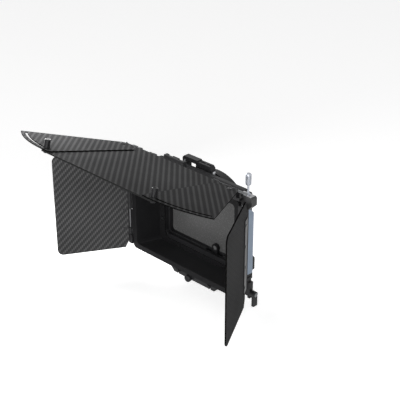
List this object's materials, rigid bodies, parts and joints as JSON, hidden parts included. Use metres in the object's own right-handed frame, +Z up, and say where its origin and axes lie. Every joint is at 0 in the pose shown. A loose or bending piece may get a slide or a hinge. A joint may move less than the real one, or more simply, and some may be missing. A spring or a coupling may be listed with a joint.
{
  "type": "matte box",
  "caption": "Clip-on matte box with a fan-winged top flag, hinged side flags, a drop-in filter tray, a split lens ring and a swing-out rod clamp.",
  "frame": {"origin": "on the optical axis at the rear face of the lens clamp ring", "axes": "+Y along the optical axis towards the lens and camera, -Y towards the subject, +X to the side with the swing pin and lever, +Z up"},
  "size_m": [0.3644, 0.2212, 0.2514],
  "materials": {
    "black_anodised": "black anodised, fine satin",
    "black_plastic": "matte moulded composite",
    "carbon": "carbon fibre twill, satin clear coat",
    "steel": "bright turned steel",
    "rubber": "soft matte rubber",
    "rail_anodised": "blue-grey anodised, satin",
    "filter_glass": "polished neutral grey filter"
  },
  "bodies": {
    "housing": {"hood_shell": "black_plastic", "hood_screws": "steel", "front_mask": "black_anodised", "tray_rail_left": "rail_anodised", "tray_rail_right": "rail_anodised", "stage_floor": "black_anodised", "rear_plate": "black_anodised", "seal_ring": "rubber", "lens_ring": "black_anodised", "ring_screws": "steel", "top_hinge_base": "black_anodised", "top_hinge_pins": "steel", "hinge_end_block_left": "black_anodised", "hinge_end_block_right": "black_anodised", "flag_brackets_left": "black_anodised", "flag_brackets_right": "black_anodised", "flag_pins": "steel", "swing_ear": "black_anodised", "swing_pin": "steel"},
    "clamp_screw": {"ring_clamp_screw": "black_anodised"},
    "filter_drawer": {"filter_tray": "black_anodised", "filter_glass": "filter_glass", "filter_lock_screw": "steel", "tray_handle": "black_anodised", "handle_screws": "steel"},
    "lock_button": {"filter_lock": "black_plastic"},
    "latch_button": {"tray_latch": "steel"},
    "plunger": {"release_plunger": "steel"},
    "top_flag": {"top_flag_plate": "carbon", "top_flag_leaf": "black_anodised", "wing_pivot_screws": "steel", "wing_studs": "steel"},
    "fan_left": {"wing_left": "carbon"},
    "fan_right": {"wing_right": "carbon"},
    "fan_knob_left": {"wing_knob_left": "black_anodised"},
    "fan_knob_right": {"wing_knob_right": "black_anodised"},
    "flag_left": {"side_flag_left": "carbon", "flag_leaf_left": "black_anodised", "leaf_rivets_left": "steel"},
    "flag_right": {"side_flag_right": "carbon", "flag_leaf_right": "black_anodised", "leaf_rivets_right": "steel"},
    "rod_support": {"swing_arm": "black_anodised", "rod_clamp": "black_anodised", "lever_screw": "steel"},
    "rod_knob": {"rod_lock_knob": "black_anodised"},
    "lever": {"lock_lever": "black_anodised"}
  },
  "joints": [
    {"name": "top_flag_tilt", "type": "hinge", "parent": "housing", "child": "top_flag", "pos_m": [0, -0.0679, 0.0864], "axis": [-1, 0, 0], "range_deg": [-14.4, 60]},
    {"name": "fan_left_turn", "type": "hinge", "parent": "top_flag", "child": "fan_left", "pos_m": [-0.1013, -0.08571, 0.09345], "axis": [0, 0.2487, 0.9686], "range_deg": [0, 33]},
    {"name": "fan_right_turn", "type": "hinge", "parent": "top_flag", "child": "fan_right", "pos_m": [0.1013, -0.08571, 0.09345], "axis": [0, -0.2487, -0.9686], "range_deg": [0, 33]},
    {"name": "fan_knob_left_turn", "type": "hinge", "parent": "top_flag", "child": "fan_knob_left", "pos_m": [-0.1013, -0.21356, 0.12628], "axis": [0, 0.2487, 0.9686], "range_deg": [0, 360]},
    {"name": "fan_knob_right_turn", "type": "hinge", "parent": "top_flag", "child": "fan_knob_right", "pos_m": [0.1013, -0.21356, 0.12628], "axis": [0, 0.2487, 0.9686], "range_deg": [0, 360]},
    {"name": "side_flag_left_swing", "type": "hinge", "parent": "housing", "child": "flag_left", "pos_m": [-0.1097, -0.06835, 0], "axis": [0, 0, -1], "range_deg": [-120, 60]},
    {"name": "side_flag_right_swing", "type": "hinge", "parent": "housing", "child": "flag_right", "pos_m": [0.1097, -0.06835, 0], "axis": [0, 0, 1], "range_deg": [-120, 60]},
    {"name": "filter_drawer_slide", "type": "slide", "parent": "housing", "child": "filter_drawer", "axis": [0, 0, 1], "range_m": [0, 0.12]},
    {"name": "filter_lock_turn", "type": "hinge", "parent": "filter_drawer", "child": "lock_button", "pos_m": [0.018, -0.022, -0.0563], "axis": [0, 1, 0], "range_deg": [-90, 90]},
    {"name": "tray_latch_press", "type": "slide", "parent": "filter_drawer", "child": "latch_button", "axis": [-1, 0, 0], "range_m": [0, 0.0019], "stiffness_N_per_m": 300, "springref_m": -0.001},
    {"name": "release_plunger_pull", "type": "slide", "parent": "housing", "child": "plunger", "axis": [0, 0, 1], "range_m": [0, 0.004], "stiffness_N_per_m": 300, "springref_m": -0.002},
    {"name": "ring_clamp_screw_turn", "type": "hinge", "parent": "housing", "child": "clamp_screw", "pos_m": [-0.067, -0.005, 0], "axis": [0, 0, 1], "range_deg": [0, 360]},
    {"name": "rod_support_swing", "type": "hinge", "parent": "housing", "child": "rod_support", "pos_m": [0.07605, -0.019, -0.08], "axis": [0, 0, -1], "range_deg": [0, 110]},
    {"name": "rod_lock_knob_turn", "type": "hinge", "parent": "rod_support", "child": "rod_knob", "pos_m": [-0.009, -0.0485, -0.0945], "axis": [0, 1, 0], "range_deg": [0, 360]},
    {"name": "lock_lever_turn", "type": "hinge", "parent": "rod_support", "child": "lever", "pos_m": [0.08335, -0.019, -0.093], "axis": [1, 0, 0], "range_deg": [0, 90]}
  ]
}
